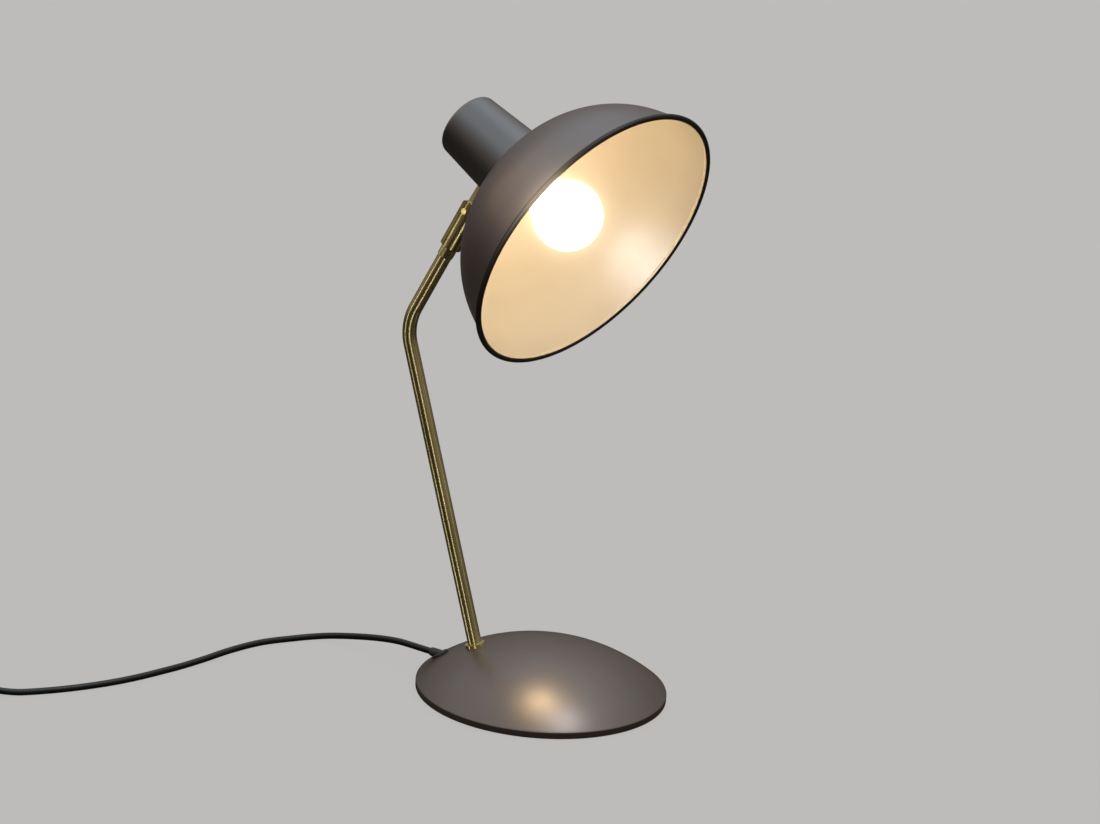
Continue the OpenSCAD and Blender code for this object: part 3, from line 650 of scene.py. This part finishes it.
def sky(stops, strength=1.0):
    """Light that changes with height only, from straight down at 0 to straight up at 1."""
    tc = wn.nodes.new("ShaderNodeTexCoord")
    sep = wn.nodes.new("ShaderNodeSeparateXYZ")
    rng = wn.nodes.new("ShaderNodeMapRange")
    rng.inputs["From Min"].default_value = -1.0
    rmp = wn.nodes.new("ShaderNodeValToRGB")
    els = rmp.color_ramp.elements
    els[0].position, els[0].color = stops[0][0], (*stops[0][1], 1)
    els[1].position, els[1].color = stops[-1][0], (*stops[-1][1], 1)
    for pos, col in stops[1:-1]:
        e = els.new(pos)
        e.color = (*col, 1)
    bg = wn.nodes.new("ShaderNodeBackground")
    bg.inputs[1].default_value = strength
    wn.links.new(tc.outputs["Generated"], sep.inputs[0])
    wn.links.new(sep.outputs["Z"], rng.inputs["Value"])
    wn.links.new(rng.outputs[0], rmp.inputs[0])
    wn.links.new(rmp.outputs[0], bg.inputs[0])
    return bg.outputs[0]


w_out = wn.nodes.new("ShaderNodeOutputWorld")
w_mix = wn.nodes.new("ShaderNodeMixShader")
w_path = wn.nodes.new("ShaderNodeLightPath")
soft = sky([(0.0, (0.10, 0.09, 0.08)), (0.45, (0.22, 0.21, 0.20)), (0.6, (0.42, 0.42, 0.42)), (1.0, (0.62, 0.63, 0.64))])
gloss = sky([(0.0, (0.022, 0.018, 0.015)), (0.42, (0.033, 0.026, 0.022)), (0.5, (0.105, 0.088, 0.078)),
             (0.545, (0.155, 0.135, 0.122)), (0.62, (0.19, 0.176, 0.165)), (0.70, (0.29, 0.28, 0.275)),
             (0.77, (0.45, 0.46, 0.475)), (0.83, (0.58, 0.61, 0.65)), (0.92, (0.88, 0.94, 1.0)),
             (1.0, (0.68, 0.73, 0.80))], 2.0)
wn.links.new(w_path.outputs["Is Glossy Ray"], w_mix.inputs[0])
wn.links.new(soft, w_mix.inputs[1])
wn.links.new(gloss, w_mix.inputs[2])
wn.links.new(w_mix.outputs[0], w_out.inputs["Surface"])


def area(name, place, aim, size, size_y, power, color=(1, 1, 1), diffuse=True, glossy=True):
    data = bpy.data.lights.new(name, "AREA")
    data.shape = "RECTANGLE"
    data.size, data.size_y = size, size_y
    data.energy = power
    data.color = color
    obj = bpy.data.objects.new(name, data)
    COLL.objects.link(obj)
    place, aim = Vector(place), Vector(aim)
    obj.matrix_world = Matrix.Translation(place) @ (aim - place).to_track_quat("-Z", "Y").to_matrix().to_4x4()
    obj.visible_camera = False
    obj.visible_diffuse = diffuse
    obj.visible_glossy = glossy
    return obj


TARGET = Vector((-0.01, 0.02, 0.2))


FRONT = Vector((back.x, back.y, 0)).normalized()


def toward(az_deg, el_deg, far):
    """A place seen from the lamp: azimuth 0 is towards the camera and 90 is to its right."""
    a_, e_ = math.radians(az_deg), math.radians(el_deg)
    return TARGET + far * (FRONT * math.cos(a_) * math.cos(e_) + right * math.sin(a_) * math.cos(e_)
                           + Vector((0, 0, math.sin(e_))))


def panel(name, az_deg, el_deg, far, size, size_y, radiance, color, diffuse=True):
    return area(name, toward(az_deg, el_deg, far), TARGET, size, size_y, radiance * size * size_y * LIGHT_K, color,
                diffuse)


LIGHT_K = 4.0
def only_for(light, name, *pieces):
    """The light reaches these pieces only, and nothing else stands in its way."""
    group = bpy.data.collections.new(name)
    for p in pieces:
        group.objects.link(p)
    light.light_linking.receiver_collection = group
    light.light_linking.blocker_collection = group


only_for(panel("warm_left", -110, 32, 1.6, 1.0, 1.0, 0.75, (1.0, 0.66, 0.46), False), "left_only", shade,
         NODES["neck_cap"])
panel("small_top", 84, 75.5, 1.6, 0.36, 0.36, 21.0, (0.9, 0.95, 1.0), False)
only_for(panel("front_soft", -19, 16, 1.9, 1.1, 1.1, 19.0, (0.95, 0.97, 1.0), False), "front_only", shade)
# tall strips that draw the lengthwise lines on the brass
for i, (az, wide, radiance) in enumerate(((-72, 0.14, 2.5), (0, 0.14, 2.6), (78, 0.10, 0.6))):
    only_for(panel("strip_%d" % i, az, -14, 1.6, wide, 1.8, radiance, (1.0, 0.99, 0.93), False), "strip_only_%d" % i,
             pole, *[NODES[n] for n in ("ferrule", "knuckle_fork", "pole_flange", "pivot_screw")])

# the lamp's own light as the base mirrors it
glow = bpy.data.lights.new("bulb_glow", "POINT")
glow.energy = 2.65
glow.color = (1.0, 0.80, 0.46)
glow.shadow_soft_size = 0.034
glow_obj = bpy.data.objects.new("bulb_glow", glow)
COLL.objects.link(glow_obj)
glow_obj.location = (0.002, 0.0, 0.336)
glow_obj.visible_camera = False
glow_obj.visible_diffuse = False
only_for(glow_obj, "glow_only", base)

# ---------------------------------------------------------------- view and halo
SCENE.view_settings.view_transform = "Standard"
SCENE.view_settings.look = "None"
SCENE.view_settings.exposure = 0.0
SCENE.view_settings.gamma = 1.0
SCENE.use_nodes = True
ct = SCENE.node_tree
ct.nodes.clear()
layers = ct.nodes.new("CompositorNodeRLayers")
comp = ct.nodes.new("CompositorNodeComposite")
glare = ct.nodes.new("CompositorNodeGlare")
glare.glare_type = "FOG_GLOW"
glare.quality = "HIGH"
glare.inputs["Threshold"].default_value = 1.6
glare.inputs["Strength"].default_value = 0.6
glare.inputs["Size"].default_value = 0.25
ct.links.new(layers.outputs["Image"], glare.inputs["Image"])
ct.links.new(glare.outputs["Image"], comp.inputs["Image"])
